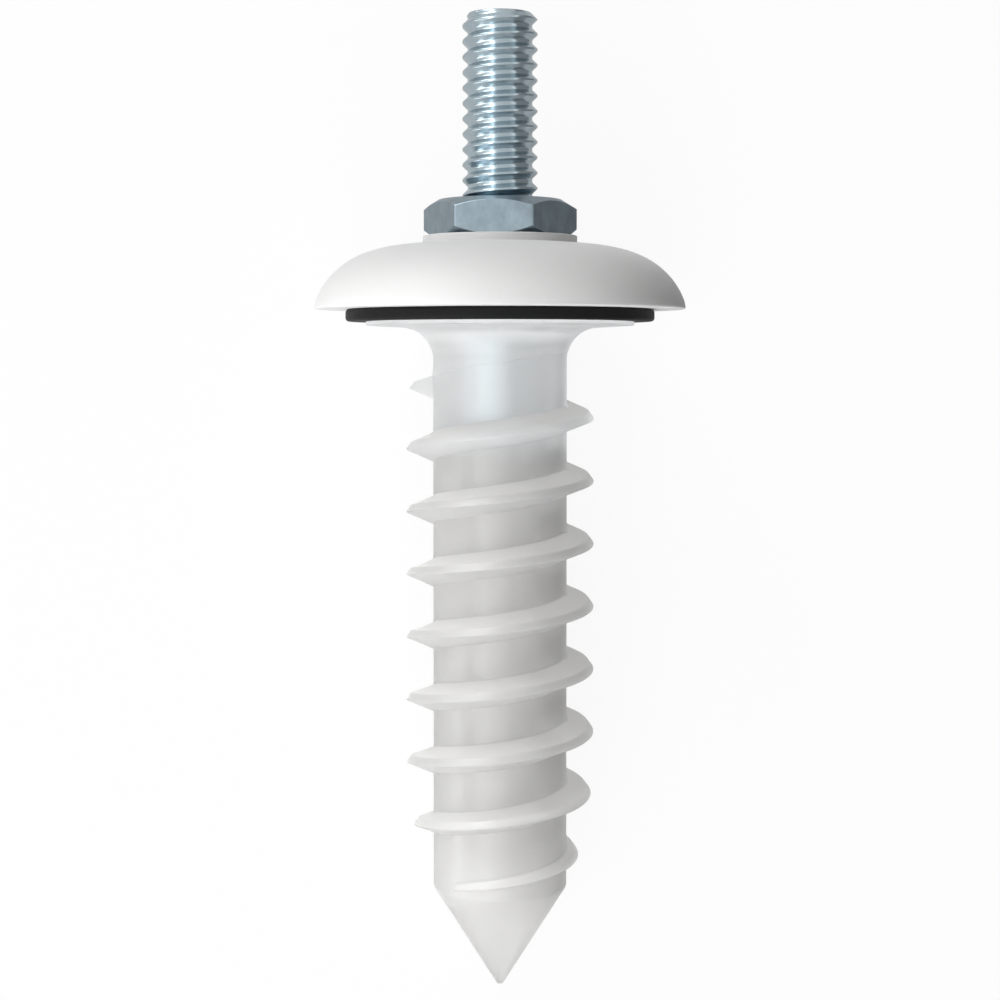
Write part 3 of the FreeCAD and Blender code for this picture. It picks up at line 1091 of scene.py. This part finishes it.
def add_sheet(name, corners, material):
    """Adds a flat sheet with four corners."""
    data = bpy.data.meshes.new(name)
    data.from_pydata(corners, [], [(0, 1, 2, 3)])
    data.materials.append(material)
    sheet = bpy.data.objects.new(name, data)
    bpy.context.scene.collection.objects.link(sheet)
    return sheet


def seen(tree, mirrored):
    """1 for rays that show a background to the camera or through nylon, a share in reflections."""
    path = tree.outputs("ShaderNodeLightPath")
    reflected = path["Is Glossy Ray"] * mirrored
    return path["Is Camera Ray"] + reflected + path["Is Transmission Ray"]


class MakeStage(bpy.types.Operator):
    """Set up the floor, the lamps, the surroundings and the camera"""

    bl_idname = "anchor.make_stage"
    bl_label = "Stage"

    def execute(self, context):
        stage = context.scene.anchor_stage
        self.add_floor(stage)
        self.add_surroundings(context, stage)
        self.add_camera(context, stage)
        self.add_lamps(stage)
        self.add_card(stage)
        context.scene.view_settings.view_transform = "Standard"
        return {"FINISHED"}

    def add_floor(self, stage):
        """A pale floor that the camera sees white, apart from the anchor's shadow."""
        material, tree = new_material("pale_floor")
        looked_at = seen(tree, stage.floor_mirrored)
        tint = tree.varied(looked_at, stage.floor_tint, stage.floor_shade, 1.0)
        paint = tree.add("ShaderNodeBsdfDiffuse", None, {"Color": tint})
        white = tree.add("ShaderNodeEmission", None, {"Strength": 1.0})
        share_white = looked_at * (stage.floor_glow - stage.bounce) + stage.bounce
        both = tree.add("ShaderNodeMixShader", None, {0: share_white, 1: paint, 2: white})
        tree.add("ShaderNodeOutputMaterial", None, {"Surface": both})
        half = stage.floor_size / 2
        corners = [(-half, -half, 0), (half, -half, 0), (half, half, 0), (-half, half, 0)]
        floor = add_sheet("floor", corners, material)

    def add_card(self, stage):
        """A grey card on the right that only the metal's reflections show."""
        material, tree = new_material("grey_card")
        grey = tree.add("ShaderNodeEmission", None, {"Strength": stage.card_level})
        tree.add("ShaderNodeOutputMaterial", None, {"Surface": grey})
        side, top = stage.card_distance, stage.card_height
        low, high = -stage.card_foot, stage.card_head
        corners = [(side, low, 0), (side, high, 0), (side, high, top), (side, low, top)]
        card = add_sheet("dark_card", corners, material)
        card.visible_camera = False
        card.visible_diffuse = False
        card.visible_transmission = False
        card.visible_shadow = False

    def add_lamps(self, stage):
        """Soft boxes aimed at the anchor's middle."""
        middle = Vector((0, 0, (STUD_TOP - PLUG_LENGTH) / 2))
        for name, azimuth, elevation, width, height, power, mirrored in LAMPS:
            a, e = math.radians(azimuth), math.radians(elevation)
            away = around(a, math.cos(e), math.sin(e))
            lamp = bpy.data.lights.new(name, "AREA")
            lamp.shape = "RECTANGLE"
            lamp.size = width
            lamp.size_y = height
            lamp.energy = power
            holder = add_facing(name, lamp, middle + away * stage.lamp_distance, -away)
            holder.visible_glossy = mirrored

    def add_surroundings(self, context, stage):
        """What the metal mirrors, bright on the left. The camera sees plain white."""
        world = bpy.data.worlds.new("studio")
        world.use_nodes = True
        context.scene.world = world
        tree = Tree(world.node_tree)
        direction = tree.add("ShaderNodeTexCoord", output="Generated")
        across = tree.add("ShaderNodeSeparateXYZ", None, {"Vector": direction}, "X")
        ramp = tree.add("ShaderNodeValToRGB", {"stops": STUDIO}, {"Fac": across * 0.5 + 0.5})
        sky = "ShaderNodeBackground"
        mirrored = tree.add(sky, None, {"Color": ramp, "Strength": stage.world_mirrored})
        plain = tree.add(sky, None, {"Color": WHITE, "Strength": stage.world_seen})
        dark = tree.add(sky, None, {"Color": BLACK, "Strength": 0.0})
        shown = tree.add("ShaderNodeMixShader", None, {0: seen(tree, 0.0), 1: mirrored, 2: plain})
        both = tree.add("ShaderNodeMixShader", None, {0: seen(tree, 1.0), 1: dark, 2: shown})
        tree.add("ShaderNodeOutputWorld", None, {"Surface": both})

    def add_camera(self, context, stage):
        """A camera that looks at the anchor as the photograph does."""
        drop = stage.eye_height - stage.centre_height
        kept = stage.shift * PICTURE_PIXELS / stage.scale * MM
        tilt = math.asin((drop - kept) / stage.distance)
        depth = stage.distance * math.cos(tilt) + drop * math.sin(tilt)
        lens = bpy.data.cameras.new("camera")
        lens.sensor_width = 36.0
        lens.lens = stage.scale * depth / MM / PICTURE_PIXELS * lens.sensor_width
        lens.shift_y = -stage.shift
        lens.clip_start = 0.01
        eye = Vector((0, -stage.distance, stage.eye_height))
        forward = Vector((0, math.cos(tilt), -math.sin(tilt)))
        context.scene.camera = add_facing("camera", lens, eye, forward)


class AnchorPanel(bpy.types.Panel):
    """Lists the anchor's pieces in the sidebar"""

    bl_idname = "VIEW3D_PT_anchor"
    bl_label = "Insulation Anchor"
    bl_space_type = "VIEW_3D"
    bl_region_type = "UI"
    bl_category = "Anchor"

    def draw(self, context):
        for name, group, maker in PIECES:
            box = self.layout.box()
            box.operator(maker.bl_idname)
            settings = getattr(context.scene, name)
            for setting in group.__annotations__:
                box.prop(settings, setting)


PIECES = [
    ("anchor_plug", PlugSettings, MakePlug),
    ("anchor_seal", SealSettings, MakeSeal),
    ("anchor_cap", CapSettings, MakeCap),
    ("anchor_nut", NutSettings, MakeNut),
    ("anchor_stud", StudSettings, MakeStud),
    ("anchor_stage", StageSettings, MakeStage),
]
CLASSES = [part for _, group, maker in PIECES for part in (group, maker)] + [AnchorPanel]


def register():
    for cls in CLASSES:
        bpy.utils.register_class(cls)
    for name, group, _ in PIECES:
        setattr(bpy.types.Scene, name, bpy.props.PointerProperty(type=group))


def unregister():
    for name, _, _ in PIECES:
        delattr(bpy.types.Scene, name)
    for cls in reversed(CLASSES):
        bpy.utils.unregister_class(cls)


def main():
    register()
    for _, _, maker in PIECES:
        prefix, name = maker.bl_idname.split(".")
        getattr(getattr(bpy.ops, prefix), name)()


if __name__ == "__main__":
    main()
